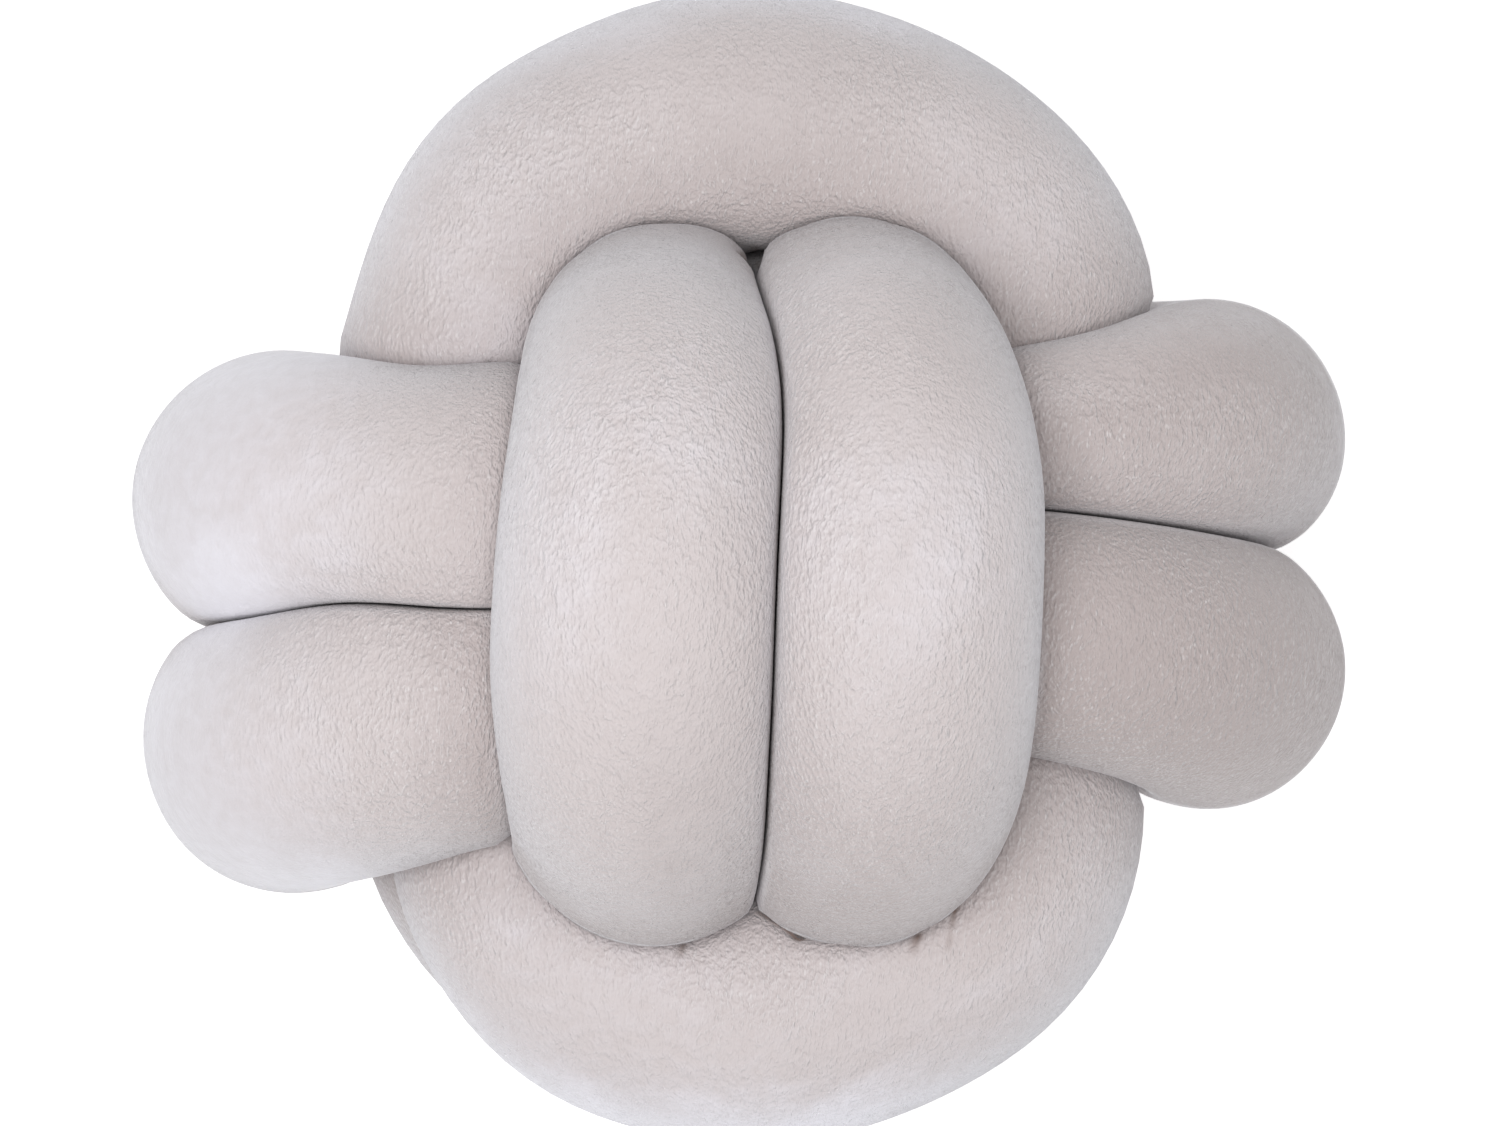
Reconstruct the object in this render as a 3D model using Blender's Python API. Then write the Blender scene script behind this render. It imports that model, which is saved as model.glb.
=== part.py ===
"""Knot cushion: one long stuffed plush tube, worked into a round knot of three turns laid twice."""
import math

import bpy
import numpy as np

MM = 0.001

# Driving dimensions, in metres. +Z is the face of the cushion, +X its right side, +Y its head.
TUBE_RADIUS = 0.0335
SQUASHED_SPACING = 0.040
SEAM_GAP = 0.0016
FLOOR_PRESS = 0.005
CAP_LENGTH = 0.026
END_DOME = 0.004
STATION_STEP = 0.0130
TUBE_SIDES = 20

# How the tube's line is laid and spaced out before it is skinned. Lengths are in metres.
DEGREES_PER_POINT = 15
SAMPLES_PER_SPAN = 12
LINE_STEP = 0.008
SAME_STRAND = 0.080
OUTSIDE_FROM = 0.060
OUTSIDE_FULLY = 0.090
FACE_HOLD = 0.5
BACK_HOLD = 0.06
SPACING_ROUNDS = 140
PUSH_SHARE = 0.5
STIFFNESS_PASSES = 3
PATH_STIFFNESS = 0.25
STRAIGHTENING = 0.1

# How a section squashes. The shares are of the section's own radius.
CONTACT_WITHIN = 0.134
CORNER_SHARPNESS = 9
TIGHTEST_FOLD = 0.6
THINNEST = 0.94
FULLEST = 1.05
GIRTH_ROUNDS = 12
GIRTH_STEP = 0.03
CAP_CLOSES = 0.96
TINY = 1e-6

# The three turns of the knot. Each runs in a plane, from its first side towards its second, and steps
# its lanes along the third direction. Its quarter gives the reach in mm from its middle at so many
# degrees from its inner side, and the other three quarters mirror it.
TURNS = {
    "ring": {
        "first": (1, 0, 0),
        "second": (0, 1, 0),
        "lanes": (0, 0, 1),
        "middle": (3, 0, 0),
        "quarter": [(0, 66), (36, 81), (62, 98), (90, 104)],
    },
    "girdle": {
        "first": (0, 0, -1),
        "second": (-1, 0, 0),
        "lanes": (0, 1, 0),
        "middle": (0, 0, 0),
        "quarter": [(0, 48), (29, 60), (41, 87), (57, 109), (75, 117), (90, 115)],
    },
    "saddle": {
        "first": (0, 1, 0),
        "second": (0, 0, 1),
        "lanes": (1, 0, 0),
        "middle": (0, -6, 0),
        "quarter": [(0, 48), (50, 79), (70, 98), (90, 106)],
    },
}

# The tube's route from end to end. A row is either a place on a turn, as (turn, degrees, lane in mm,
# mm added to the reach, fullness), or a free point where the tube passes from one turn to the next, as
# ("point", x, y, z in mm, fullness). Fullness is the girth there as a share of the tube's own girth.
ROUTE = [
    ("point", 4, -8, 4, 0.90),
    ("point", 34, 6, 14, 0.95),
    ("ring", 35, 27, -2, 1.00),
    ("ring", 50, 28, 2, 1.00),
    ("ring", 68, 30, -0.5, 1.00),
    ("ring", 90, 31, -2, 1.00),
    ("ring", 130, 31, -3, 1.00),
    ("ring", 155, 31, -4, 1.00),
    ("ring", 180, 31, -2, 1.00),
    ("ring", 222, 29, -18, 1.00),
    ("ring", 236, 29, -9, 1.01),
    ("ring", 250, 30, 2, 1.00),
    ("ring", 270, 31, 4, 1.00),
    ("ring", 290, 31, 3.5, 1.00),
    ("ring", 303, 30, 3, 1.00),
    ("ring", 316, 28, -1, 1.00),
    ("ring", 332, 25, -13, 1.00),
    ("ring", 390, -22, 0, 1.00),
    ("ring", 450, -30, -2, 1.00),
    ("ring", 580, -29, -1, 1.01),
    ("ring", 600, -29, -3, 1.02),
    ("ring", 630, -30, -1, 1.01),
    ("ring", 652, -36, 0, 1.00),
    ("point", 62, -84, -46, 1.00),
    ("point", 74, -66, -59, 0.98),
    ("point", 63, -48, -72, 0.98),
    ("point", 40, -38, -68, 1.00),
    ("girdle", -15, -34, 0, 1.00),
    ("girdle", 90, -47, -9.5, 1.02),
    ("girdle", 104, -45.5, -7, 1.03),
    ("girdle", 118, -42, -4, 1.03),
    ("girdle", 129, -36.5, -2, 1.06),
    ("girdle", 138, -33, 0, 1.01),
    ("girdle", 180, -20, 0, 1.00),
    ("girdle", 222, -15.5, -1, 0.86),
    ("girdle", 240, -21.5, 0, 0.90),
    ("girdle", 254, -26.5, 0, 0.96),
    ("girdle", 270, -29, 1, 0.97),
    ("girdle", 360, 12, 0, 1.00),
    ("girdle", 450, 11.5, -6, 1.05),
    ("girdle", 464, 13, -5, 1.03),
    ("girdle", 478, 12.5, -3.5, 0.98),
    ("girdle", 489, 11, -2, 0.95),
    ("girdle", 498, 9, 0, 1.01),
    ("girdle", 540, 20, 0, 0.92),
    ("girdle", 570, 23.5, -2, 0.66),
    ("girdle", 590, 27, -2, 0.63),
    ("girdle", 608, 30, 2, 0.84),
    ("girdle", 630, 29.5, 3, 0.95),
    ("girdle", 655, 30, 2, 1.00),
    ("point", 90, 37, -81, 1.00),
    ("point", 69, 47, -97, 0.98),
    ("point", 46, 56, -85, 0.98),
    ("saddle", -40, 36, 0, 1.00),
    ("saddle", 0, 27, -3, 0.98),
    ("saddle", 45, 30.5, -4.5, 0.89),
    ("saddle", 70, 36.5, -1, 0.93),
    ("saddle", 90, 36.7, 0, 0.96),
    ("saddle", 112, 34.7, 0, 0.96),
    ("saddle", 135, 29.5, 3.5, 0.91),
    ("saddle", 180, 28, 2, 1.00),
    ("saddle", 270, 5, 0, 1.00),
    ("saddle", 360, -24, -1, 0.98),
    ("saddle", 405, -18.5, -7.5, 0.90),
    ("saddle", 430, -15.5, -1, 0.99),
    ("saddle", 450, -18, 0, 1.00),
    ("saddle", 472, -19.5, 0, 1.00),
    ("saddle", 495, -20, -4, 1.00),
    ("saddle", 540, -27, 0, 1.00),
    ("saddle", 630, -53, 0, 1.00),
    ("saddle", 655, -58, 0, 1.00),
    ("point", -62, 60, -77, 0.97),
    ("point", -57, 61, -60, 0.94),
]


def reach_at(quarter, degrees):
    """The reach of a turn at an angle, from its one quarter."""
    folded = degrees % 180
    folded = min(folded, 180 - folded)
    return np.interp(folded, [row[0] for row in quarter], [row[1] for row in quarter])


def place_on(turn_name, degrees, lane, further_out, fullness):
    """The place on a turn at an angle and a lane, with the tube's fullness there."""
    turn = TURNS[turn_name]
    angle = math.radians(degrees)
    out = np.array(turn["first"]) * math.cos(angle) + np.array(turn["second"]) * math.sin(angle)
    reach = reach_at(turn["quarter"], degrees) + further_out
    place = (np.array(turn["middle"]) + out * reach + np.array(turn["lanes"]) * lane) * MM
    return np.append(place, fullness)


def laid_route():
    """The rows, and an arc of each turn between two rows on it, as x, y, z and fullness."""
    points = []
    for row, following in zip(ROUTE, ROUTE[1:] + [("end",)]):
        if row[0] == "point":
            points.append(np.array(row[1:]) * (MM, MM, MM, 1))
            continue
        points.append(place_on(*row))
        if following[0] != row[0]:
            continue
        start, end = np.array(row[1:], float), np.array(following[1:], float)
        parts = max(1, round((end[0] - start[0]) / DEGREES_PER_POINT))
        for step in range(1, parts):
            share = step / parts
            eased = share * share * (3 - 2 * share)
            degrees = start[0] + (end[0] - start[0]) * share
            lane, further_out, fullness = start[1:] + (end[1:] - start[1:]) * eased
            points.append(place_on(row[0], degrees, lane, further_out, fullness))
    return np.array(points)


def along(points):
    """Length along a line at each of its points."""
    steps = np.linalg.norm(np.diff(points[:, :3], axis=0), axis=1)
    return np.concatenate([[0], np.cumsum(steps)])


def smooth_line(points, step):
    """A smooth curve through the points (centripetal Catmull-Rom), cut into even steps."""
    padded = np.vstack([2 * points[0] - points[1], points, 2 * points[-1] - points[-2]])
    t = np.linspace(0, 1, SAMPLES_PER_SPAN, endpoint=False)[:, None]
    spans = []
    for before, start, end, after in zip(padded, padded[1:], padded[2:], padded[3:]):
        d1, d2, d3 = (
            math.sqrt(np.linalg.norm((b - a)[:3])) for a, b in ((before, start), (start, end), (end, after))
        )
        leave = end - start + d2 * ((start - before) / d1 - (end - before) / (d1 + d2))
        arrive = end - start + d2 * ((after - end) / d3 - (after - start) / (d2 + d3))
        spans.append(
            (2 * t**3 - 3 * t**2 + 1) * start
            + (t**3 - 2 * t**2 + t) * leave
            + (3 * t**2 - 2 * t**3) * end
            + (t**3 - t**2) * arrive
        )
    dense = np.vstack(spans + [points[-1:]])
    length = along(dense)
    even = np.linspace(0, length[-1], round(length[-1] / step) + 1)
    return np.column_stack([np.interp(even, length, column) for column in dense.T])


def space_out(line):
    """Moves strands that lie too close to each other apart. The outside of the face keeps its place."""
    laid, fullness = line[:, :3], line[:, 3]
    line = laid.copy()
    out = np.linalg.norm(laid, axis=1)
    outside = np.clip((out - OUTSIDE_FROM) / (OUTSIDE_FULLY - OUTSIDE_FROM), 0, 1)
    to_face = np.clip(laid[:, 2] / SQUASHED_SPACING + 1, 0, 1)
    hold = outside * (BACK_HOLD + (FACE_HOLD - BACK_HOLD) * to_face)
    for _ in range(SPACING_ROUNDS):
        length = along(line)
        other = np.abs(length[:, None] - length[None, :]) > SAME_STRAND
        apart = line[:, None] - line[None, :]
        distance = np.linalg.norm(apart, axis=2) + TINY
        overlap = np.where(other, np.clip(SQUASHED_SPACING - distance, 0, None), 0)
        push = (apart * (overlap**2 / distance)[:, :, None]).sum(axis=1)
        line = line + PUSH_SHARE * push / (overlap.sum(axis=1) + TINY)[:, None]
        line = line + hold[:, None] * (laid - line)
        for _ in range(STIFFNESS_PASSES):
            bend = np.zeros_like(line)
            bend[1:-1] = (line[:-2] + line[2:]) / 2 - line[1:-1]
            change = np.zeros_like(line)
            change[1:-1] = (bend[:-2] + bend[2:]) / 2 - bend[1:-1]
            line = line + PATH_STIFFNESS * (STRAIGHTENING * bend - change)
    return np.column_stack([line, fullness])


def frames_along(line):
    """Tangents and a pair of side directions that turn with the line without twisting round it."""
    tangent = np.gradient(line, axis=0)
    tangent /= np.linalg.norm(tangent, axis=1)[:, None]
    side = np.zeros_like(line)
    first = np.cross(tangent[0], (0.0, 0.0, 1.0))
    side[0] = first / np.linalg.norm(first)
    for i in range(1, len(line)):
        turned = side[i - 1] - tangent[i] * (side[i - 1] @ tangent[i])
        side[i] = turned / np.linalg.norm(turned)
    return tangent, side, np.cross(tangent, side)


def soft_min(a, b):
    """The smaller of two lengths, rounded off where they are alike."""
    return (a**-CORNER_SHARPNESS + b**-CORNER_SHARPNESS) ** (-1 / CORNER_SHARPNESS)


def contact_reach(line, fullness, directions):
    """How far each ray runs before it meets the face shared with another strand."""
    length = along(line)
    laid = TUBE_RADIUS * fullness
    reach = np.full(directions.shape[:2], 1.0)
    for i, centre in enumerate(line):
        distance = np.linalg.norm(line - centre, axis=1)
        near = (np.abs(length - length[i]) > SAME_STRAND) & (distance < CONTACT_WITHIN)
        others, distance, radius = line[near] - centre, distance[near], laid[near]
        meeting = (distance * (distance - SEAM_GAP) + laid[i] ** 2 - radius**2) / 2
        facing = np.maximum(others @ directions[i].T, TINY)
        reach[i] = np.minimum((meeting[:, None] / facing).min(axis=0, initial=1.0), 1.0)
    return reach


def fold_reach(line, directions):
    """How far each ray runs before it meets the next sections on the inside of a bend."""
    tangent = np.gradient(line, axis=0)
    step = np.linalg.norm(tangent, axis=1)[:, None]
    bend = np.gradient(tangent / step, axis=0) / step
    inward = (directions * bend[:, None]).sum(axis=2)
    return TIGHTEST_FOLD / np.maximum(inward, TIGHTEST_FOLD)


def girth(radius, directions):
    """Length round each section."""
    ring = directions * radius[:, :, None]
    return np.linalg.norm(ring - np.roll(ring, 1, axis=1), axis=2).sum(axis=1)


def section_radii(line, fullness, directions):
    """Squashed sections: flat where strands meet, and as much fuller between as the cloth allows."""
    reach = soft_min(contact_reach(line, fullness, directions), fold_reach(line, directions))
    laid = TUBE_RADIUS * fullness
    cloth = 2 * math.pi * laid
    base = laid.copy()
    for _ in range(GIRTH_ROUNDS):
        radius = soft_min(base[:, None], reach)
        change = cloth / girth(radius, directions)
        base = base * np.clip(change, 1 - GIRTH_STEP, 1 + GIRTH_STEP)
        base = np.clip(base, THINNEST * laid, FULLEST * laid)
        base[1:-1] = (base[:-2] + base[1:-1] + base[2:]) / 3
    return soft_min(base[:, None], reach)


def cap_shrink(line):
    """Rounds the tube off at both of its ends."""
    length = along(line)
    to_end = np.minimum(length, length[-1] - length)
    inside = np.clip(1 - to_end / CAP_LENGTH, 0, CAP_CLOSES)
    return np.sqrt(1 - inside**2)


def tube_mesh():
    """The skin of the whole tube, as rings of points joined by quads, with a fan on each end."""
    line = smooth_line(space_out(smooth_line(laid_route(), LINE_STEP)), STATION_STEP / 2)
    line = line[: (len(line) - 1) // 2 * 2 + 1]
    line, fullness = line[:, :3], line[:, 3]
    tangent, side, up = frames_along(line)
    angle = np.arange(2 * TUBE_SIDES) * math.pi / TUBE_SIDES
    directions = (
        side[:, None] * np.cos(angle)[None, :, None] + up[:, None] * np.sin(angle)[None, :, None]
    )
    radius = section_radii(line, fullness, directions) * cap_shrink(line)[:, None]
    line, tangent = line[::2], tangent[::2]
    directions, radius = directions[::2, ::2], radius[::2, ::2]
    rings = line[:, None] + directions * radius[:, :, None]
    ends = [line[0] - tangent[0] * END_DOME, line[-1] + tangent[-1] * END_DOME]
    points = np.vstack([rings.reshape(-1, 3), ends])
    floor = points[:, 2].min() + FLOOR_PRESS
    points[:, 2] = np.maximum(points[:, 2] - floor, 0)
    middle = (points.min(axis=0) + points.max(axis=0)) / 2
    points[:, :2] -= middle[:2]

    faces = []
    for i in range(len(line) - 1):
        for k in range(TUBE_SIDES):
            following = (k + 1) % TUBE_SIDES
            row, next_row = i * TUBE_SIDES, (i + 1) * TUBE_SIDES
            faces.append((row + k, row + following, next_row + following, next_row + k))
    start, end = len(points) - 2, len(points) - 1
    last = (len(line) - 1) * TUBE_SIDES
    for k in range(TUBE_SIDES):
        following = (k + 1) % TUBE_SIDES
        faces.append((start, following, k))
        faces.append((end, last + k, last + following))
    mesh = bpy.data.meshes.new("knot_tube")
    mesh.from_pydata(points.tolist(), [], faces)
    mesh.shade_smooth()
    return mesh


def plush_material():
    """Short-pile plush, warm pale grey."""
    material = bpy.data.materials.new("plush")
    material.use_nodes = True
    shader = material.node_tree.nodes["Principled BSDF"]
    shader.inputs["Base Color"].default_value = (0.56, 0.51, 0.50, 1)
    shader.inputs["Roughness"].default_value = 0.95
    shader.inputs["Metallic"].default_value = 0.0
    return material


def build():
    for item in list(bpy.data.objects):
        bpy.data.objects.remove(item, do_unlink=True)
    collection = bpy.data.collections.new("knot_cushion")
    bpy.context.scene.collection.children.link(collection)
    mesh = tube_mesh()
    mesh.materials.append(plush_material())
    tube = bpy.data.objects.new("knot_tube", mesh)
    collection.objects.link(tube)


build()
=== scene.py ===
# Knot cushion, lying on its back on a pale floor: one long stuffed plush tube, worked into a round
# knot of three turns laid twice. This script gives the tube its soft shape and its short pile.
import bpy
import math
import numpy as np
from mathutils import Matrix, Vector


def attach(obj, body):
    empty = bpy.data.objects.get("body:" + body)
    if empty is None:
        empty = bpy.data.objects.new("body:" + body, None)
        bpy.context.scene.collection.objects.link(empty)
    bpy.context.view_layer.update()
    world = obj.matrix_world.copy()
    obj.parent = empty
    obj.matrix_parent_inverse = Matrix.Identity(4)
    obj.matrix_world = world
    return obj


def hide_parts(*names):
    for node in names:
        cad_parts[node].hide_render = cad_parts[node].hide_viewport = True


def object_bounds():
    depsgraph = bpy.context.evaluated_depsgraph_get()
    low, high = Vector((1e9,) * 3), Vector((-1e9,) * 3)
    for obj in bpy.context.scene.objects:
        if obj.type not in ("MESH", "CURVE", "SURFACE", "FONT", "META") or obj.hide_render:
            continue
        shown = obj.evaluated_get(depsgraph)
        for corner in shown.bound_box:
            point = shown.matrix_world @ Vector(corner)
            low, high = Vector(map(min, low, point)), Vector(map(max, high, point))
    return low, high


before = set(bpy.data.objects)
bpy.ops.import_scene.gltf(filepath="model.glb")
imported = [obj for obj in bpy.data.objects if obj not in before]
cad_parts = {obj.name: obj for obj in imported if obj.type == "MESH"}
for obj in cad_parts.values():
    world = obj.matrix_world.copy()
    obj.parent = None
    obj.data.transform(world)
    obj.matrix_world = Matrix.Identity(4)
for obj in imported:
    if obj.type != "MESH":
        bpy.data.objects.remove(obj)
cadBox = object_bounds()
mm = 0.001

# What a user would change about the tube, in metres. +Z is the cushion's face, +X its right side
# and +Y its head.
tube = {
    "radius": 33.5 * mm,
    "squashedSpacing": 40 * mm,   # how near the middles of two strands may lie
    "seamGap": 0.3 * mm,          # what stays open between two strands that press together
    "floorPress": 5 * mm,         # how far the floor flattens the back
    "floorRound": 1.5 * mm,       # how softly a flattened patch turns up at its rim
    "capLength": 26 * mm,
    "endDome": 4 * mm,
    "thinnest": 0.94,             # shares of a section's laid radius
    "fullest": 1.05,
    "stationStep": 3.6 * mm,
    "sides": 96,
}

# How the tube's line is laid and spaced out before it is skinned, in metres.
laying = {
    "degreesPerPoint": 15,
    "samplesPerSpan": 12,
    "lineStep": 8 * mm,
    "sameStrand": 80 * mm,        # nearer than this along the tube counts as the same strand
    "outsideFrom": 60 * mm,
    "outsideFully": 90 * mm,
    "faceHold": 0.5,
    "backHold": 0.06,
    "rounds": 140,
    "pushShare": 0.5,
    "stiffnessPasses": 3,
    "stiffness": 0.25,
    "straightening": 0.1,
}

# How a section squashes against its neighbours.
squash = {
    "contactWithin": 134 * mm,
    "farAway": 1.0,               # how far a ray runs that meets no neighbour, in metres
    "cornerSharpness": 26,
    "tightestFold": 0.6,
    "girthRounds": 12,
    "girthStep": 0.03,
    "capCloses": 0.985,
    "tiny": 1e-6,
}

# The three turns. Each runs in a plane, from its first side towards its second, and steps its lanes
# along the third direction. Its quarter gives the reach in mm from its middle at so many degrees
# from its first side, and the other three quarters mirror it.
turns = {
    "ring": {
        "first": (1, 0, 0),
        "second": (0, 1, 0),
        "lanes": (0, 0, 1),
        "middle": (3, 0, 0),
        "quarter": [(0, 66), (36, 81), (62, 98), (90, 104)],
    },
    "girdle": {
        "first": (0, 0, -1),
        "second": (-1, 0, 0),
        "lanes": (0, 1, 0),
        "middle": (0, 0, 0),
        "quarter": [(0, 48), (29, 60), (41, 87), (57, 109), (75, 117), (90, 115)],
    },
    "saddle": {
        "first": (0, 1, 0),
        "second": (0, 0, 1),
        "lanes": (1, 0, 0),
        "middle": (0, -6, 0),
        "quarter": [(0, 48), (50, 79), (70, 98), (90, 106)],
    },
}

# The route from end to end. A row is either a place on a turn, as (turn, degrees, lane in mm, mm
# added to the reach, fullness, nap), or a free point where the tube passes from one turn to the
# next, as ("point", x, y, z in mm, fullness, nap). Fullness is the girth there as a share of the
# tube's own girth. Nap is 1 where the pile is brushed light and smooth, and -1 where it stands up
# warm and dark. The nap values, set strand by strand, also carry painted light and shade: lighter
# on strands towards the lamp, darker beside neighbouring strands.
route = [
    ("point", 4, -8, 4, 0.90, -0.1),
    ("point", 34, 6, 14, 0.95, -0.1),
    ("ring", 35, 27, -2, 1.00, 0.0),
    ("ring", 50, 28, 2, 1.00, 0.15),
    ("ring", 68, 30, -1.5, 1.00, -0.1),
    ("ring", 90, 31, -3, 1.00, -0.25),
    ("ring", 130, 31, -3, 1.00, 0.3),
    ("ring", 155, 31, -4, 1.00, 0.3),
    ("ring", 180, 31, -2, 1.00, 0.1),
    ("ring", 222, 29, -18, 1.00, 0.0),
    ("ring", 236, 29, -9, 1.01, 0.2),
    ("ring", 250, 30, 2, 1.00, 0.3),
    ("ring", 270, 31, 3, 1.00, 0.2),
    ("ring", 290, 31, 2.5, 1.00, 0.1),
    ("ring", 303, 30, 3, 1.00, 0.0),
    ("ring", 316, 28, -1, 1.00, 0.0),
    ("ring", 332, 25, -13, 1.00, 0.0),
    ("ring", 390, -22, 0, 1.00, -0.2),
    ("ring", 450, -30, -2, 1.00, -0.2),
    ("ring", 580, -29, -1, 1.01, -0.2),
    ("ring", 600, -29, -3, 1.02, -0.2),
    ("ring", 630, -30, -1, 1.01, -0.2),
    ("ring", 652, -36, 0, 1.00, -0.2),
    ("point", 62, -84, -46, 1.00, -0.1),
    ("point", 74, -66, -59, 0.98, -0.1),
    ("point", 63, -48, -72, 0.98, -0.1),
    ("point", 40, -38, -68, 1.00, -0.1),
    ("girdle", -15, -34, 0, 1.00, 0.0),
    ("girdle", 90, -47, -9.5, 1.02, -1.0),
    ("girdle", 104, -45.5, -7, 1.03, 0.3),
    ("girdle", 118, -42, -4, 1.01, 0.5),
    ("girdle", 129, -36.5, -2, 1.03, 0.15),
    ("girdle", 138, -33, 0, 1.00, -0.9),
    ("girdle", 180, -20, 0, 1.00, 0.0),
    ("girdle", 222, -15.5, -1, 0.86, -1.2),
    ("girdle", 240, -21.5, 0, 0.90, -1.2),
    ("girdle", 254, -26.5, 0, 0.96, -1.2),
    ("girdle", 270, -29, 1, 0.97, -1.2),
    ("girdle", 360, 12, 0, 1.00, 0.0),
    ("girdle", 450, 11.5, -6, 1.05, -1.0),
    ("girdle", 464, 13, -5, 1.03, 0.35),
    ("girdle", 478, 12.5, -3.5, 0.98, 0.62),
    ("girdle", 489, 11, -2, 0.95, 0.3),
    ("girdle", 498, 9, 0, 1.01, -0.3),
    ("girdle", 540, 20, 0, 0.92, 0.0),
    ("girdle", 570, 23.5, -2, 0.66, -0.5),
    ("girdle", 590, 27, -2, 0.63, -0.6),
    ("girdle", 608, 30, 2, 0.84, -0.7),
    ("girdle", 630, 29.5, 3, 0.95, -0.7),
    ("girdle", 655, 30, 2, 1.00, -0.7),
    ("point", 90, 37, -81, 1.00, -0.1),
    ("point", 69, 47, -97, 0.98, -0.1),
    ("point", 46, 56, -85, 0.98, -0.1),
    ("saddle", -40, 36, 0, 1.00, -0.3),
    ("saddle", 0, 27, -3, 0.98, -0.3),
    ("saddle", 45, 30.5, -4.5, 0.89, -0.6),
    ("saddle", 70, 36.5, -1, 0.93, -0.2),
    ("saddle", 90, 36.7, 0, 0.96, 0.1),
    ("saddle", 112, 34.7, 0, 0.96, -0.6),
    ("saddle", 135, 29.5, 3.5, 0.91, -1.2),
    ("saddle", 180, 28, 2, 1.00, -0.2),
    ("saddle", 270, 5, 0, 1.00, -0.2),
    ("saddle", 360, -24, -1, 0.98, -0.3),
    ("saddle", 405, -18.5, -7.5, 0.90, -0.2),
    ("saddle", 430, -15.5, -1, 0.99, -0.1),
    ("saddle", 450, -18, 0, 1.00, 0.1),
    ("saddle", 472, -19.5, 0, 1.00, -0.4),
    ("saddle", 495, -20, -4, 1.00, -1.3),
    ("saddle", 540, -27, 0, 1.00, -0.2),
    ("saddle", 630, -53, 0, 1.00, -0.2),
    ("saddle", 655, -58, 0, 1.00, -0.3),
    ("point", -62, 60, -77, 0.97, -0.1),
    ("point", -57, 61, -60, 0.94, -0.1),
]

# How uneven the filling is, and where the cloth gathers.
softness = {
    "lumpHeight": 0.7 * mm,
    "lumpLength": 75 * mm,
    "lumpWaves": [((1, 0.7, 0), 1.3), ((0, 1.3, -0.8), 0.4), ((0.9, 0, 1.1), 2.1)],  # way, phase
    "gatherHeight": 0.7 * mm,
    "gatherLength": 17 * mm,
    "gatherWander": 1.4,          # how far the gathers bend, in radians of their wave
    "gatherTurns": 2,             # bends round the tube
    "gatherTwist": 0.21,          # and along it, as a share of the gathers' own turns
    "gatherFrom": 0.55,           # inward bend times radius where gathers start, and are full
    "gatherFully": 1.0,
    "endPleats": 9,
    "endPleatHeight": 1.6 * mm,
    "endPleatMean": 0.6,
    "freeFrom": 1.02,             # how far a ray clears its neighbour where lumps start, and are
    "freeFully": 1.25,            # full, in radii
}

# Small nips and a dimple in the cloth, in mm: where each is deepest, the way it runs, its length,
# width and depth.
nips = [
    ((1, 73, 197), (0.1, 0, -1), 90, 3.4, 1.9),
    ((-14, -87, 195), (0, -1, 0.3), 3, 2.2, 2.2),
    ((13, -87, 195), (0.1, -1, 0.3), 3, 2.4, 2.4),
    ((40, -86, 197), (0.2, -1, 0.3), 4, 2.4, 2.6),
    ((49.5, -80.5, 199), (0.1, -1, 0.2), 6, 2.4, 1.8),
    ((80, 45, 213), (0.1, -1, 0.4), 16, 8.0, 0.9),
]


# Smoothstep of a share: 0 below low, 1 above high, and 3t^2 - 2t^3 between.
def ease(value, low, high):
    share = np.clip((value - low) / (high - low), 0, 1)
    return share * share * (3 - 2 * share)


# The reach of a turn at an angle: its one quarter, folded over to the other three.
def reachAt(quarter, degrees):
    folded = degrees % 180
    folded = min(folded, 180 - folded)
    return np.interp(folded, [row[0] for row in quarter], [row[1] for row in quarter])


# Middle of the turn, plus reach times (first side * cos + second side * sin), plus the lane along
# the third way.
def placeOn(turnName, degrees, lane, furtherOut, fullness, napAndPaintedLight):
    turn = turns[turnName]
    angle = math.radians(degrees)
    out = np.array(turn["first"]) * math.cos(angle) + np.array(turn["second"]) * math.sin(angle)
    reach = reachAt(turn["quarter"], degrees) + furtherOut
    place = (np.array(turn["middle"]) + out * reach + np.array(turn["lanes"]) * lane) * mm
    return np.append(place, (fullness, napAndPaintedLight))


# The route's rows, and between two rows on one turn an arc of it, as x, y, z, fullness and nap,
# which also carries painted light and shade.
def laidRoute():
    points = []
    for row, following in zip(route, route[1:] + [("end",)]):
        if row[0] == "point":
            points.append(np.array(row[1:]) * (mm, mm, mm, 1, 1))
            continue
        points.append(placeOn(*row))
        if following[0] != row[0]:
            continue
        start, end = np.array(row[1:], float), np.array(following[1:], float)
        parts = max(1, round((end[0] - start[0]) / laying["degreesPerPoint"]))
        for step in range(1, parts):
            share = step / parts
            degrees = start[0] + (end[0] - start[0]) * share
            rest = start[1:] + (end[1:] - start[1:]) * ease(share, 0, 1)
            points.append(placeOn(row[0], degrees, *rest))
    return np.array(points)


# Running sum of the steps from point to point.
def lengthAlong(points):
    steps = np.linalg.norm(np.diff(points[:, :3], axis=0), axis=1)
    return np.concatenate([[0], np.cumsum(steps)])


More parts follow.
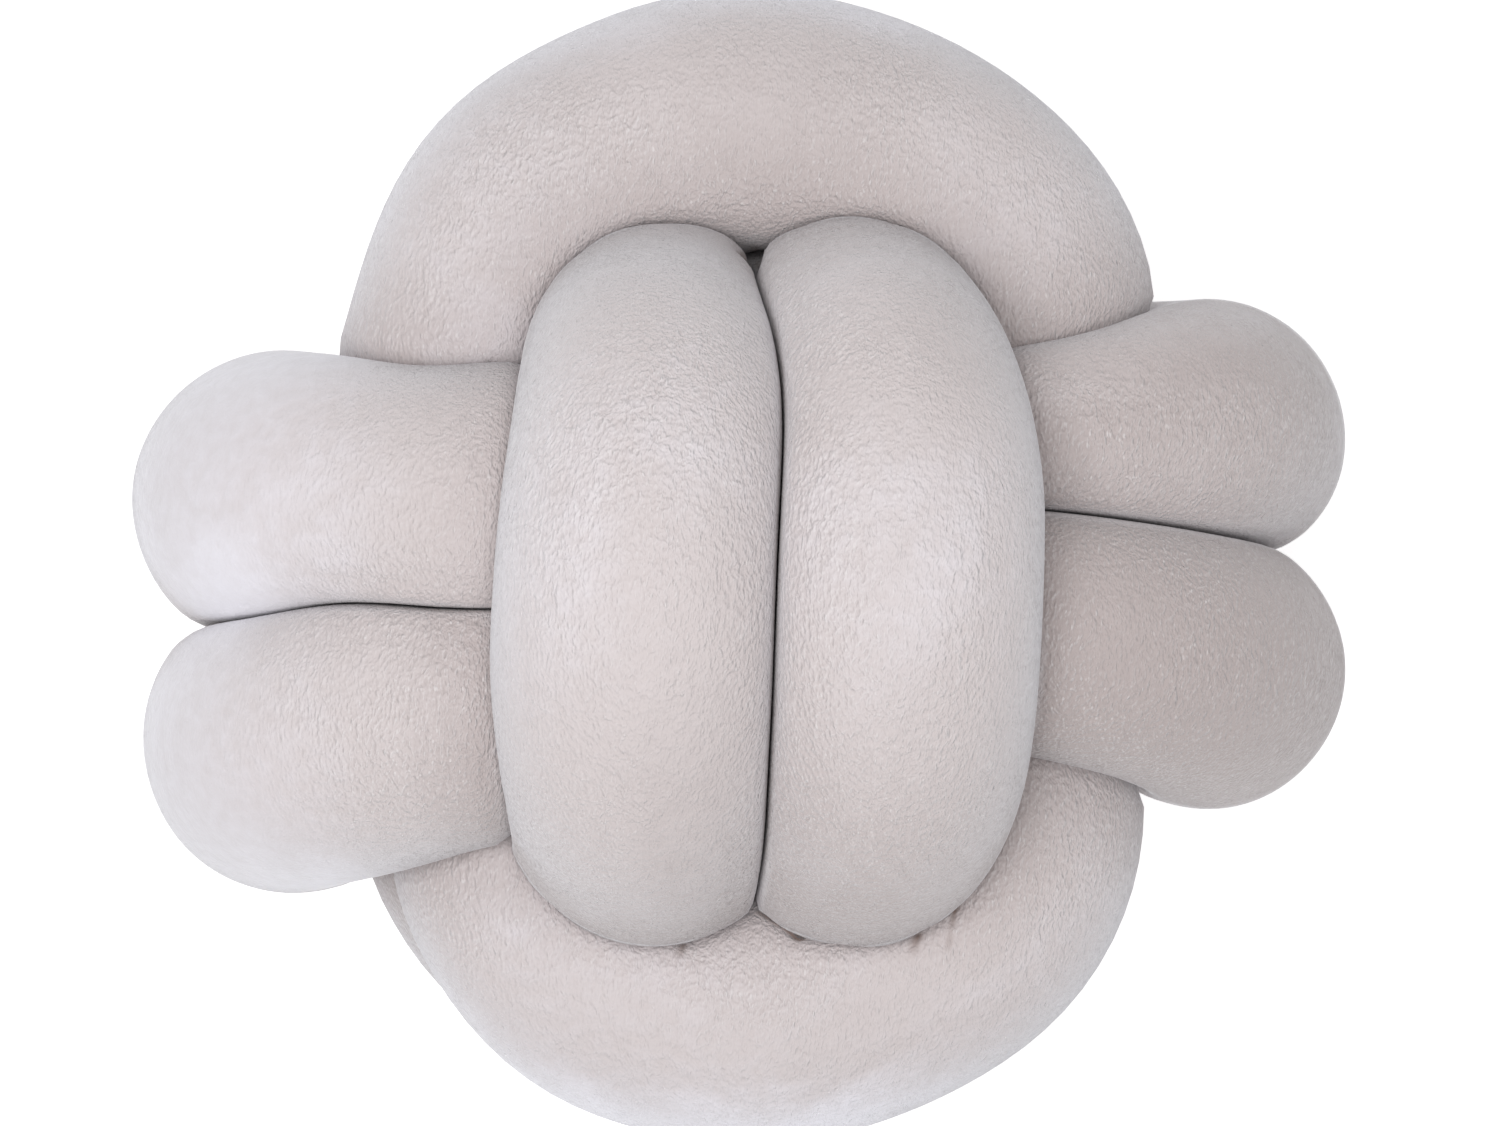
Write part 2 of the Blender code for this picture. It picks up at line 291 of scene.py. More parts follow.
# Centripetal Catmull-Rom: a Hermite curve between each two points, whose slopes weigh the
# neighbouring chords by the square roots of their lengths. It is then cut into even steps.
def smoothLine(points, step):
    padded = np.vstack([2 * points[0] - points[1], points, 2 * points[-1] - points[-2]])
    t = np.linspace(0, 1, laying["samplesPerSpan"], endpoint=False)[:, None]
    spans = []
    for before, start, end, after in zip(padded, padded[1:], padded[2:], padded[3:]):
        chords = start - before, end - start, after - end
        d1, d2, d3 = (math.sqrt(np.linalg.norm(chord[:3])) for chord in chords)
        leave = end - start + d2 * ((start - before) / d1 - (end - before) / (d1 + d2))
        arrive = end - start + d2 * ((after - end) / d3 - (after - start) / (d2 + d3))
        spans.append(
            (2 * t**3 - 3 * t**2 + 1) * start
            + (t**3 - 2 * t**2 + t) * leave
            + (3 * t**2 - 2 * t**3) * end
            + (t**3 - t**2) * arrive
        )
    dense = np.vstack(spans + [points[-1:]])
    length = lengthAlong(dense)
    even = np.linspace(0, length[-1], round(length[-1] / step) + 1)
    return np.column_stack([np.interp(even, length, column) for column in dense.T])


# Each round pushes points that lie nearer than the squashed spacing apart, by the mean of their
# overlaps, draws the outside back towards where it was laid, and evens out changes of bend.
def spaceOut(line):
    laid, carried = line[:, :3], line[:, 3:]
    line = laid.copy()
    out = np.linalg.norm(laid, axis=1)
    outside = np.clip(
        (out - laying["outsideFrom"]) / (laying["outsideFully"] - laying["outsideFrom"]), 0, 1
    )
    toFace = np.clip(laid[:, 2] / tube["squashedSpacing"] + 1, 0, 1)
    hold = outside * (laying["backHold"] + (laying["faceHold"] - laying["backHold"]) * toFace)
    for _ in range(laying["rounds"]):
        length = lengthAlong(line)
        other = np.abs(length[:, None] - length[None, :]) > laying["sameStrand"]
        apart = line[:, None] - line[None, :]
        distance = np.linalg.norm(apart, axis=2) + squash["tiny"]
        overlap = np.where(other, np.clip(tube["squashedSpacing"] - distance, 0, None), 0)
        push = (apart * (overlap**2 / distance)[:, :, None]).sum(axis=1)
        line = line + laying["pushShare"] * push / (overlap.sum(axis=1) + squash["tiny"])[:, None]
        line = line + hold[:, None] * (laid - line)
        for _ in range(laying["stiffnessPasses"]):
            bend = np.zeros_like(line)
            bend[1:-1] = (line[:-2] + line[2:]) / 2 - line[1:-1]
            change = np.zeros_like(line)
            change[1:-1] = (bend[:-2] + bend[2:]) / 2 - bend[1:-1]
            line = line + laying["stiffness"] * (laying["straightening"] * bend - change)
    return np.column_stack([line, carried])


# The tangent at each point, a side direction carried along without twist, and their cross product.
def framesAlong(line):
    tangent = np.gradient(line, axis=0)
    tangent /= np.linalg.norm(tangent, axis=1)[:, None]
    side = np.zeros_like(line)
    first = np.cross(tangent[0], (0.0, 0.0, 1.0))
    side[0] = first / np.linalg.norm(first)
    for i in range(1, len(line)):
        turned = side[i - 1] - tangent[i] * (side[i - 1] @ tangent[i])
        side[i] = turned / np.linalg.norm(turned)
    return tangent, side, np.cross(tangent, side)


# The smaller of two lengths, as (a^-n + b^-n)^(-1/n), rounded off where they are alike.
def softMin(a, b):
    n = squash["cornerSharpness"]
    return (a**-n + b**-n) ** (-1 / n)


# How far each ray runs to the plane between its strand and any point of another. Two strands of
# radii r and s, d apart, meet at (d^2 + r^2 - s^2) / 2d from the first, less half the gap.
def contactReach(line, fullness, directions):
    length = lengthAlong(line)
    reach = np.empty(directions.shape[:2])
    laid = tube["radius"] * fullness
    for i, centre in enumerate(line):
        distance = np.linalg.norm(line - centre, axis=1)
        other = np.abs(length - length[i]) > laying["sameStrand"]
        near = other & (distance < squash["contactWithin"])
        others, distance, radius = line[near] - centre, distance[near], laid[near]
        meeting = (distance * (distance - tube["seamGap"]) + laid[i] ** 2 - radius**2) / 2
        facing = np.maximum(others @ directions[i].T, squash["tiny"])
        reach[i] = (meeting[:, None] / facing).min(axis=0, initial=squash["farAway"])
    return reach


# The part of the line's bend that each ray looks into, in 1/m.
def inwardBend(line, directions):
    tangent = np.gradient(line, axis=0)
    step = np.linalg.norm(tangent, axis=1)[:, None]
    bend = np.gradient(tangent / step, axis=0) / step
    return (directions * bend[:, None]).sum(axis=2)


# Length round each section.
def girth(radius, directions):
    ring = directions * radius[:, :, None]
    return np.linalg.norm(ring - np.roll(ring, 1, axis=1), axis=2).sum(axis=1)


# Squashed sections: the soft minimum of a base radius and the reach to the neighbours. The base
# radius grows until the section has the cloth's girth again, within the thinnest and fullest.
def sectionRadii(fullness, directions, reach):
    laid = tube["radius"] * fullness
    cloth = 2 * math.pi * laid
    base = laid.copy()
    for _ in range(squash["girthRounds"]):
        radius = softMin(base[:, None], reach)
        change = cloth / girth(radius, directions)
        base = base * np.clip(change, 1 - squash["girthStep"], 1 + squash["girthStep"])
        base = np.clip(base, tube["thinnest"] * laid, tube["fullest"] * laid)
        base[1:-1] = (base[:-2] + base[1:-1] + base[2:]) / 3
    return softMin(base[:, None], reach)


# Filling that isn't even: the mean of slow waves that cross each other, each a sine of the place
# along the wave's own way.
def lumps(points):
    turn = 2 * math.pi / softness["lumpLength"]
    waves = [np.sin(points @ np.array(way) * turn + phase) for way, phase in softness["lumpWaves"]]
    return sum(waves) / len(waves)


# Gathers on the inside of a bend: waves along the tube, bent round it, higher as the bend tightens.
def gathers(line, angle, inward, radius):
    phase = lengthAlong(line)[:, None] * 2 * math.pi / softness["gatherLength"]
    bending = angle * softness["gatherTurns"] + phase * softness["gatherTwist"]
    wave = np.sin(phase + softness["gatherWander"] * np.sin(bending))
    return wave * ease(inward * radius, softness["gatherFrom"], softness["gatherFully"])


# Pleats that run into the sewn ends: a cosine round the tube, higher towards each end.
def endPleats(line, angle):
    length = lengthAlong(line)
    toEnd = np.minimum(length, length[-1] - length)
    nearEnd = 1 - ease(toEnd, 0, tube["capLength"])
    pleat = np.abs(np.cos(angle * softness["endPleats"] / 2)) - softness["endPleatMean"]
    return nearEnd[:, None] * pleat


# How deep each point lies in a nip: depth * exp(-(distance to the nip's line / width)^2), fading
# along it.
def nipDepth(points):
    depth = np.zeros(points.shape[:2])
    for place, way, length, width, deep in nips:
        way = np.array(way) / np.linalg.norm(way)
        offset = points - np.array(place) * mm
        ahead = (offset * way).sum(axis=2)
        across = offset - np.clip(ahead, 0, length * mm)[:, :, None] * way
        distance = np.linalg.norm(across, axis=2)
        fade = 1 - ease(ahead, 0, length * mm)
        depth += deep * mm * fade * np.exp(-((distance / (width * mm)) ** 2))
    return depth


# Both of the tube's ends are rounded off as sqrt(1 - inside^2), inside the cap's length.
def capShrink(line):
    length = lengthAlong(line)
    toEnd = np.minimum(length, length[-1] - length)
    inside = np.clip(1 - toEnd / tube["capLength"], 0, squash["capCloses"])
    return np.sqrt(1 - inside**2)


# The floor lifts z to (z + sqrt(z^2 + round^2)) / 2, which is flat underneath and turns up softly.
def pressOnFloor(points):
    z = points[:, 2] - points[:, 2].min() - tube["floorPress"]
    points[:, 2] = (z + np.sqrt(z * z + tube["floorRound"] ** 2)) / 2
    points[:, 2] -= points[:, 2].min()


# Point (i, k) is line i + direction (i, k) * radius (i, k). The grid is closed round the tube and
# has a fan at each end. Four attributes go along for the pile: the tube's own straight space, as
# (radius * cos, radius * sin, length); how close each point is to a neighbour, which is 1 where it
# touches; how deep it lies in a nip, in mm; and the nap, which also carries painted light and
# shade.
def plushTube():
    line = smoothLine(spaceOut(smoothLine(laidRoute(), laying["lineStep"])), tube["stationStep"])
    line, fullness, napAndPaintedLight = line[:, :3], line[:, 3], line[:, 4]
    tangent, side, up = framesAlong(line)
    sides, stations = tube["sides"], len(line)
    angle = np.arange(sides) * 2 * math.pi / sides
    directions = (
        side[:, None] * np.cos(angle)[None, :, None] + up[:, None] * np.sin(angle)[None, :, None]
    )
    inward = inwardBend(line, directions)
    contact = contactReach(line, fullness, directions)
    fold = squash["tightestFold"] / np.maximum(inward, squash["tightestFold"])
    radius = sectionRadii(fullness, directions, softMin(contact, fold))

    free = ease(contact / radius, softness["freeFrom"], softness["freeFully"])
    places = line[:, None] + directions * radius[:, :, None]
    radius = radius + free * softness["lumpHeight"] * lumps(places)
    gathered = gathers(line, angle, inward, radius)
    radius = radius + free * softness["gatherHeight"] * gathered
    radius = radius + softness["endPleatHeight"] * endPleats(line, angle)
    radius = radius * capShrink(line)[:, None]
    places = line[:, None] + directions * radius[:, :, None]

    tips = [line[0] - tangent[0] * tube["endDome"], line[-1] + tangent[-1] * tube["endDome"]]
    points = np.vstack([places.reshape(-1, 3), tips])
    pressOnFloor(points)
    middle = (points.min(axis=0) + points.max(axis=0)) / 2
    points[:, :2] += np.array((cadBox[0] + cadBox[1]) / 2)[:2] - middle[:2]
    grid = points[:-2].reshape(stations, sides, 3)
    nipped = nipDepth(grid)
    grid -= directions * nipped[:, :, None]
    points[:-2] = grid.reshape(-1, 3)

    row = np.arange(stations - 1)[:, None] * sides
    k = np.arange(sides)[None, :]
    beside = (k + 1) % sides
    quads = np.stack([row + k, row + beside, row + sides + beside, row + sides + k], axis=2)
    first, last = len(points) - 2, len(points) - 1
    rim = (stations - 1) * sides
    fans = [(first, (i + 1) % sides, i) for i in range(sides)]
    fans += [(last, rim + i, rim + (i + 1) % sides) for i in range(sides)]
    mesh = bpy.data.meshes.new("plushTube")
    mesh.from_pydata(points.tolist(), [], quads.reshape(-1, 4).tolist() + fans)
    mesh.shade_smooth()

    length = lengthAlong(line)
    around = np.broadcast_to(angle, (stations, sides))
    straight = np.stack(
        [
            tube["radius"] * np.cos(around),
            tube["radius"] * np.sin(around),
            np.broadcast_to(length[:, None], (stations, sides)),
        ],
        axis=2,
    ).reshape(-1, 3)
    straight = np.vstack([straight, (0, 0, -tube["radius"]), (0, 0, length[-1] + tube["radius"])])
    attribute = mesh.attributes.new("straightTube", "FLOAT_VECTOR", "POINT")
    attribute.data.foreach_set("vector", straight.ravel())
    closeness = np.append(np.minimum(radius / contact, 1), (0, 0))
    attribute = mesh.attributes.new("closeness", "FLOAT", "POINT")
    attribute.data.foreach_set("value", closeness)
    attribute = mesh.attributes.new("nipped", "FLOAT", "POINT")
    attribute.data.foreach_set("value", np.append(nipped / mm, (0, 0)))
    attribute = mesh.attributes.new("napAndPaintedLight", "FLOAT", "POINT")
    attribute.data.foreach_set("value", np.append(np.repeat(napAndPaintedLight, sides), (napAndPaintedLight[0], napAndPaintedLight[-1])))
    return mesh


# Wraps a node's output. Operators on it add Math nodes, and node() adds any other node.
class Shade:
    def __init__(self, tree, socket=None):
        self.tree = tree
        self.socket = socket

    # A node's settings are made first, then the values or links of its sockets.
    def node(self, kind, settings={}, sockets={}, output=0):
        made = self.tree.nodes.new(kind)
        for name, value in settings.items():
            setattr(made, name, value)
        for name, value in sockets.items():
            if isinstance(value, Shade):
                self.tree.links.new(value.socket, made.inputs[name])
            else:
                made.inputs[name].default_value = value
        return Shade(self.tree, made.outputs[output])

    def maths(self, operation, first, second):
        return self.node("ShaderNodeMath", {"operation": operation}, {0: first, 1: second})

    def __add__(self, other):
        return self.maths("ADD", self, other)

    def __radd__(self, other):
        return self.maths("ADD", other, self)

    def __sub__(self, other):
        return self.maths("SUBTRACT", self, other)

    def __rsub__(self, other):
        return self.maths("SUBTRACT", other, self)

    def __mul__(self, other):
        return self.maths("MULTIPLY", self, other)

    def __rmul__(self, other):
        return self.maths("MULTIPLY", other, self)

    def __abs__(self):
        return self.maths("ABSOLUTE", self, 0.0)


# Painted shade in thin folds and pits of the cloth beside the saddle's lower ends, in mm: where
# each starts and ends, half its width, and how dark its start and its end are.
foldShade = [
    ((4.0, -81.3, 191.6), (12.4, -87.2, 194.8), 1.7, 0.9, 0.95),
    ((12.6, -87.4, 194.3), (11.9, -90.0, 197.2), 1.8, 1.0, 0.2),
    ((40.8, -86.7, 198.5), (39.4, -91.0, 200.6), 2.1, 1.0, 0.1),
    ((49.6, -81.0, 197.6), (47.8, -89.5, 200.7), 1.3, 0.95, 0.2),
    ((-14.0, -88.7, 196.6), (-15.1, -91.9, 199.0), 1.7, 0.95, 0.1),
]

# The pile: its colours, some of them painted light, shade and sheen, its sizes in metres, and
# shares. A range is where something starts and where it is full.
plush = {
    "warm": (0.548, 0.496, 0.495, 1),      # pile seen end-on, where it faces the view
    "cool": (0.575, 0.562, 0.592, 1),      # pile seen from its side, towards the rims: painted sheen
    "coolRange": (0.25, 0.95),
    "brushedAndLit": (0.775, 0.765, 0.832, 1),   # where the nap lies light, partly painted light
    "brushedRange": (-0.1, 1.1),
    "standingAndShaded": (0.405, 0.350, 0.342, 1),  # where it stands up, partly painted shade; also the painted shade of hollows
    "standingRange": (0.0, 1.2),
    "mostTinted": 0.9,                     # the share of these three tints at their fullest
    # Painted sheen: a pale line at the very rims.
    "paintedRimSheen": (0.860, 0.850, 0.875, 1),
    "rimRange": (0.90, 0.99),
    "rimShare": 0.6,
    # Painted highlight and painted shade, on each tuft's side towards and away from the light.
    "tips": (0.800, 0.780, 0.785, 1),
    "tuftShade": (0.400, 0.345, 0.335, 1),
    "tuftWidth": 0.9 * mm,
    "tuftLength": 1.7 * mm,
    # A step away from the light, for the painted highlight and shade on each tuft.
    "lightStep": (0.25 * mm, -0.25 * mm, 0),
    "slopeRange": (0.0, 0.2),
    "highlightShare": 0.26,
    "tuftShadeShare": 0.22,
    "speckWidth": 1.1 * mm,                # a few curls that stand out, with painted highlights
    "speckLength": 2.4 * mm,
    "speckRadius": 0.34,
    "speckEdge": (0.0, 0.2),
    "speckChosen": (0.45, 0.7),
    "speckShare": 0.35,
    "speckShadeShare": 0.3,                # their painted shadow, on the side away from the light
    "bendLength": 7 * mm,                  # how slowly the grain bends, and how far
    "bendBy": (2 * mm, 2 * mm, 2 * mm),
    "clumpLength": 4 * mm,
    "ruffledLength": 45 * mm,
    "ruffledRange": (0.34, 0.64),
    "ruffledNear": (0.4, 0.9),             # more so towards a neighbour
    "ruffledNearShare": 0.1,
    "leastRuffled": 0.35,                  # what a smooth patch keeps of the tufts' colour
    "nappedLength": 60 * mm,               # patches where the nap lies otherwise
    "nappedRange": (0.36, 0.66),
    "nappedShare": 0.35,
    "clumpShare": 0.4,
    "endsRange": (112 * mm, 140 * mm),     # painted light at the head and foot
    "endsShare": 0.72,
    "smoothRange": (0.2, 0.65),            # the nap that smooths the tufts away
    "smoothShare": 0.85,
    "pileHeight": 0.9 * mm,
    "bumpStrength": 0.9,
    "tuftHeight": 0.75,                    # heights as shares of the pile's
    "ruffledHeight": 0.35,
    "speckHeight": 0.1,
    "clumpHeight": 0.6,
    "roughness": 0.9,
    "specular": 0.15,
    "sheen": 0.45,
    "sheenRoughness": 0.55,
    "sheenTint": (0.93, 0.94, 0.97, 1),
}

# Painted shade and painted light near a neighbouring strand, and painted shade in creases, nips
# and folds. A near range is of closeness, 1 where they touch.
paintedShadeAndLight = {
    "near": (0.36, 0.92),                  # painted shade in the hollow between two strands
    "share": 0.50,
    "plainNap": (0.35, 0.6),               # but not where the nap is strong,
    "fromFoot": (-98 * mm, -75 * mm),      # not at the foot,
    "high": (205 * mm, 225 * mm),          # and less on the saddle
    "highLess": 0.35,
    "paintedLight": (0.920, 0.900, 0.925, 1),   # painted light beside a neighbour, where the nap is strong
    "paintedLightNear": (0.90, 0.98),
    "brushedNap": (0.5, 0.9),
    "brushedShare": 0.4,
    "standingNap": (0.7, 1.1),
    "standingShare": 0.45,
    "deep": (0.200, 0.140, 0.120, 1),      # painted shade in the saddle's middle crease, nips and folds
    "deepNear": (0.96, 1.0),
    "deepHigh": (205 * mm, 235 * mm),
    "deepShare": 0.75,
    "nippedRange": (0.9, 1.6),             # of a nip's depth, in mm
    "nippedShare": 0.95,
}


# Short crushed pile. Its tufts are a noise stretched along Y and bent by a slower one, higher in
# ruffled patches and lower where the nap lies smooth. They carry a painted highlight on the side
# towards the light and painted shade on the other, by the difference from the same noise a step
# away. Colour runs from warm, where the pile is seen end-on, to cool at the rims, a painted sheen,
# with a pale painted sheen line at the very rims; lighter or darker with the nap, which also
# carries painted light and shade and gets painted light at the head and foot; painted shade in
# hollows, creases, nips and folds; and painted light beside a neighbour where the nap is strong.
def plushMaterial():
    material = bpy.data.materials.new("plush")
    material.use_nodes = True
    tree = material.node_tree
    shade = Shade(tree)

    def attribute(name, output):
        return shade.node("ShaderNodeAttribute", {"attribute_name": name}, {}, output)

    def noise(where, length, detail=2.0, distortion=0.0, output="Fac"):
        sockets = {"Vector": where, "Scale": 1 / length, "Detail": detail, "Distortion": distortion}
        return shade.node("ShaderNodeTexNoise", {}, sockets, output)

    def vectorMaths(operation, first, second=(0, 0, 0), output="Vector"):
        sockets = {0: first, 1: second}
        return shade.node("ShaderNodeVectorMath", {"operation": operation}, sockets, output)

    def band(value, low, high, rise="SMOOTHSTEP"):
        sockets = {"Value": value, "From Min": low, "From Max": high}
        return shade.node("ShaderNodeMapRange", {"interpolation_type": rise}, sockets)

    def mixed(share, first, second):
        sockets = {0: share, 6: first, 7: second}
        return shade.node("ShaderNodeMix", {"data_type": "RGBA"}, sockets, 2)

    # A pattern's own space, which is shrunk by the pattern's width, and along Y by its length.
    def shrunk(where, width, length):
        return vectorMaths("MULTIPLY", where, (1 / width, 1 / length, 1 / width))

    def tuftsAt(where):
        return noise(shrunk(where, plush["tuftWidth"], plush["tuftLength"]), 1.0, 1.0)

    # Spots round some of a Voronoi pattern's points.
    def specksAt(where):
        spots = {"Vector": shrunk(where, plush["speckWidth"], plush["speckLength"]), "Scale": 1.0}
        distance = shade.node("ShaderNodeTexVoronoi", {}, spots, "Distance")
        chosen = shade.node("ShaderNodeTexVoronoi", {}, spots, "Color")
        inside = band(plush["speckRadius"] - distance, *plush["speckEdge"])
        return inside * band(chosen, *plush["speckChosen"])

    # The painted shade of a fold: a share that is 0 at half the width from the line, and on it runs
    # between the two darks.
    def foldShadeAt(where, start, end, halfWidth, darkStart, darkEnd):
        start, end = np.array(start) * mm, np.array(end) * mm
        way = end - start
        offset = vectorMaths("SUBTRACT", where, tuple(start))
        ahead = vectorMaths("DOT_PRODUCT", offset, tuple(way), "Value")
        share = band(ahead, 0, way @ way, "LINEAR")
        across = vectorMaths("SUBTRACT", offset, vectorMaths("MULTIPLY", share, tuple(way)))
        distance = vectorMaths("LENGTH", across, output="Value")
        return (1 - band(distance, 0, halfWidth * mm)) * (darkStart + share * (darkEnd - darkStart))

    straight = attribute("straightTube", "Vector")
    place = shade.node("ShaderNodeTexCoord", {}, {}, "Object")
    alongY = shade.node("ShaderNodeSeparateXYZ", {}, {"Vector": place}, "Y")
    height = shade.node("ShaderNodeSeparateXYZ", {}, {"Vector": place}, "Z")
    facing = shade.node("ShaderNodeLayerWeight", {}, {"Blend": 0.5}, "Facing")
    closeness = attribute("closeness", "Fac")
    laid = attribute("napAndPaintedLight", "Fac")

    # The grain and its patches, then the nap with its painted light and shade.
    slow = noise(place, plush["bendLength"], 1.0, output="Color")
    bent = vectorMaths("ADD", place, vectorMaths("MULTIPLY", slow, plush["bendBy"]))
    awayFromLight = vectorMaths("ADD", bent, plush["lightStep"])
    tufts = tuftsAt(bent)
    litSlope = tufts - tuftsAt(awayFromLight)
    specks, speckShade = specksAt(bent), specksAt(awayFromLight)
    clumps = noise(bent, plush["clumpLength"])
    patches = noise(straight, plush["ruffledLength"], distortion=0.5)
    near = band(closeness, *plush["ruffledNear"]) * plush["ruffledNearShare"]
    ruffled = band(patches + near, *plush["ruffledRange"])
    napped = band(noise(straight, plush["nappedLength"], distortion=0.8), *plush["nappedRange"])
    # Painted light at the head and foot.
    paintedLightAtEnds = band(abs(alongY), *plush["endsRange"]) * plush["endsShare"]
    uneven = (napped - 0.5) * plush["nappedShare"] + (clumps - 0.5) * plush["clumpShare"]
    napAndPaintedLight = laid + paintedLightAtEnds + uneven
    upright = 1 - band(laid, *plush["smoothRange"]) * plush["smoothShare"]

    # Each tint is laid over the ones before it.
    most = plush["mostTinted"]
    # Painted sheen: warm where the surface faces the view, cool towards the rims.
    colour = mixed(band(facing, *plush["coolRange"]) * most, plush["warm"], plush["cool"])
    colour = mixed(band(napAndPaintedLight, *plush["brushedRange"]) * most, colour, plush["brushedAndLit"])
    colour = mixed(band(0 - napAndPaintedLight, *plush["standingRange"]) * most, colour, plush["standingAndShaded"])

    # Painted shade in the hollows between strands.
    plain = 1 - band(abs(laid), *paintedShadeAndLight["plainNap"])
    lower = paintedShadeAndLight["share"] - band(height, *paintedShadeAndLight["high"]) * paintedShadeAndLight["highLess"]
    paintedHollowShade = band(closeness, *paintedShadeAndLight["near"]) * plain
    paintedHollowShade = paintedHollowShade * band(alongY, *paintedShadeAndLight["fromFoot"]) * lower
    colour = mixed(paintedHollowShade, colour, plush["standingAndShaded"])

    least = plush["leastRuffled"]
    strength = (least + ruffled * (1 - least)) * upright
    # Painted highlight on each tuft's side towards the light, painted shade on the other, then
    # painted shadows and highlights on the specks.
    paintedHighlight = band(litSlope, *plush["slopeRange"]) * strength * plush["highlightShare"]
    paintedTuftShade = band(0 - litSlope, *plush["slopeRange"]) * strength * plush["tuftShadeShare"]
    colour = mixed(paintedHighlight, colour, plush["tips"])
    colour = mixed(paintedTuftShade, colour, plush["tuftShade"])
    colour = mixed(speckShade * strength * plush["speckShadeShare"], colour, plush["tuftShade"])
    colour = mixed(specks * strength * plush["speckShare"], colour, plush["tips"])
    # Painted sheen: a pale line at the very rims.
    colour = mixed(band(facing, *plush["rimRange"]) * plush["rimShare"], colour, plush["paintedRimSheen"])

    # Painted light beside a touching neighbour where the nap is strong, lifting the shade there.
    litNearContact = band(napAndPaintedLight, *paintedShadeAndLight["brushedNap"]) * paintedShadeAndLight["brushedShare"]
    litNearContact = litNearContact + band(0 - napAndPaintedLight, *paintedShadeAndLight["standingNap"]) * paintedShadeAndLight["standingShare"]
    colour = mixed(band(closeness, *paintedShadeAndLight["paintedLightNear"]) * litNearContact, colour, paintedShadeAndLight["paintedLight"])
    # Painted shade in the saddle's middle crease and in the nips.
    paintedCreaseShade = band(closeness, *paintedShadeAndLight["deepNear"]) * band(height, *paintedShadeAndLight["deepHigh"])
    colour = mixed(paintedCreaseShade * paintedShadeAndLight["deepShare"], colour, paintedShadeAndLight["deep"])
    nipped = band(attribute("nipped", "Fac"), *paintedShadeAndLight["nippedRange"])
    colour = mixed(nipped * paintedShadeAndLight["nippedShare"], colour, paintedShadeAndLight["deep"])
    # Painted shade along the folds.
    for fold in foldShade:
        colour = mixed(foldShadeAt(place, *fold), colour, paintedShadeAndLight["deep"])

    relief = tufts * (plush["tuftHeight"] + ruffled * plush["ruffledHeight"])
    relief = (relief + specks * plush["speckHeight"]) * upright + clumps * plush["clumpHeight"]
    sockets = {"Strength": plush["bumpStrength"], "Distance": plush["pileHeight"], "Height": relief}
    bump = shade.node("ShaderNodeBump", {}, sockets)
    surface = tree.nodes["Principled BSDF"]
    tree.links.new(colour.socket, surface.inputs["Base Color"])
    tree.links.new(bump.socket, surface.inputs["Normal"])
    surface.inputs["Roughness"].default_value = plush["roughness"]
    surface.inputs["Specular IOR Level"].default_value = plush["specular"]
    surface.inputs["Sheen Weight"].default_value = plush["sheen"]
    surface.inputs["Sheen Roughness"].default_value = plush["sheenRoughness"]
    surface.inputs["Sheen Tint"].default_value = plush["sheenTint"]
    return material


mesh = plushTube()
mesh.materials.append(plushMaterial())
cushion = bpy.data.objects.new("plushTube", mesh)
bpy.context.scene.collection.objects.link(cushion)
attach(cushion, "root")
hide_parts("knot_tube")
print("tube and its pile:", len(mesh.polygons), "faces")

# The floor, the sky and one soft lamp, in metres and watts.
studio = {
    "floorSize": 8.0,
    "floorColour": (0.93, 0.93, 0.93, 1),
    "floorRoughness": 0.9,
    "floorGlow": 0.5,
    "skyStrength": 0.42,
    "keyPlace": (-0.16, -0.06, 1.35),
    "keySize": 0.8,
    "keyPower": 12.8,
}


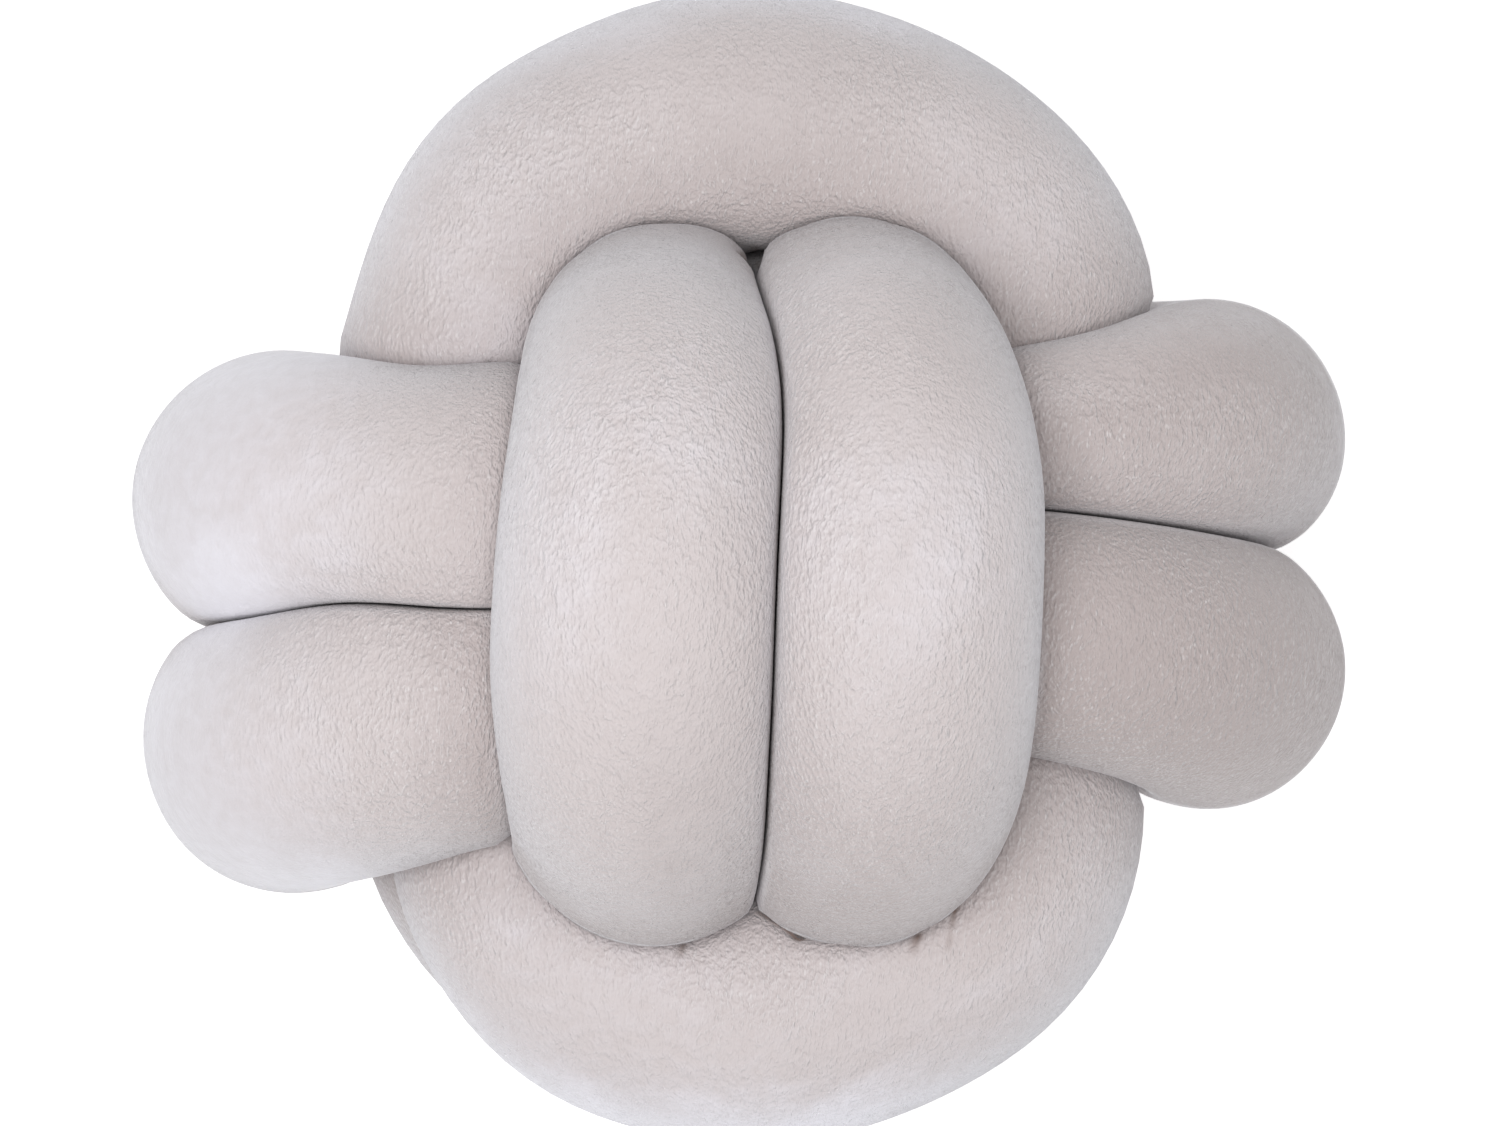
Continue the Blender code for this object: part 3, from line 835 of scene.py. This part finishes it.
# A square floor under the cushion, bright enough to stay white where the cushion shades it.
def makeFloor():
    half = studio["floorSize"] / 2
    corners = [(-half, -half, 0), (half, -half, 0), (half, half, 0), (-half, half, 0)]
    floorMesh = bpy.data.meshes.new("floor")
    floorMesh.from_pydata(corners, [], [(0, 1, 2, 3)])
    material = bpy.data.materials.new("floorPaper")
    material.use_nodes = True
    surface = material.node_tree.nodes["Principled BSDF"]
    surface.inputs["Base Color"].default_value = studio["floorColour"]
    surface.inputs["Roughness"].default_value = studio["floorRoughness"]
    surface.inputs["Emission Color"].default_value = (1, 1, 1, 1)
    surface.inputs["Emission Strength"].default_value = studio["floorGlow"]
    floorMesh.materials.append(material)
    floor = bpy.data.objects.new("floor", floorMesh)
    bpy.context.scene.collection.objects.link(floor)


# An area light, turned to look at the cushion's middle.
def makeKeyLight(target):
    data = bpy.data.lights.new("keyLight", "AREA")
    data.size = studio["keySize"]
    data.energy = studio["keyPower"]
    light = bpy.data.objects.new("keyLight", data)
    place = Vector(studio["keyPlace"])
    light.location = place
    light.rotation_euler = (place - target).to_track_quat("Z", "Y").to_euler()
    bpy.context.scene.collection.objects.link(light)


makeFloor()
middleHeight = (cadBox[0].z + cadBox[1].z) / 2
makeKeyLight(Vector((0, 0, middleHeight)))
world = bpy.data.worlds.new("studio")
world.use_nodes = True
sky = world.node_tree.nodes["Background"]
sky.inputs["Color"].default_value = (1, 1, 1, 1)
sky.inputs["Strength"].default_value = studio["skyStrength"]
bpy.context.scene.world = world
bpy.context.scene.view_settings.view_transform = "Standard"
print("floor and lights")

# The photograph, in pixels, and how the cushion sits in it.
photo = {
    "width": 1500,
    "height": 1126,
    "pixelsPerMetre": 4040,         # at the cushion's middle height
    "overOrigin": (743.5, 565.3),   # the pixel that lies over the cushion's middle
    "distance": 1.1,                # from the camera to the cushion's middle height, in metres
    "sensorWidth": 36,              # in mm, as the lens's length is
}
cameraData = bpy.data.cameras.new("camera")
cameraData.sensor_width = photo["sensorWidth"]
widthsPerMetre = photo["pixelsPerMetre"] / photo["width"]
cameraData.lens = widthsPerMetre * photo["distance"] * photo["sensorWidth"]
camera = bpy.data.objects.new("camera", cameraData)
camera.location = (
    (photo["width"] / 2 - photo["overOrigin"][0]) / photo["pixelsPerMetre"],
    (photo["overOrigin"][1] - photo["height"] / 2) / photo["pixelsPerMetre"],
    middleHeight + photo["distance"],
)
bpy.context.scene.collection.objects.link(camera)
bpy.context.scene.camera = camera
print("camera")
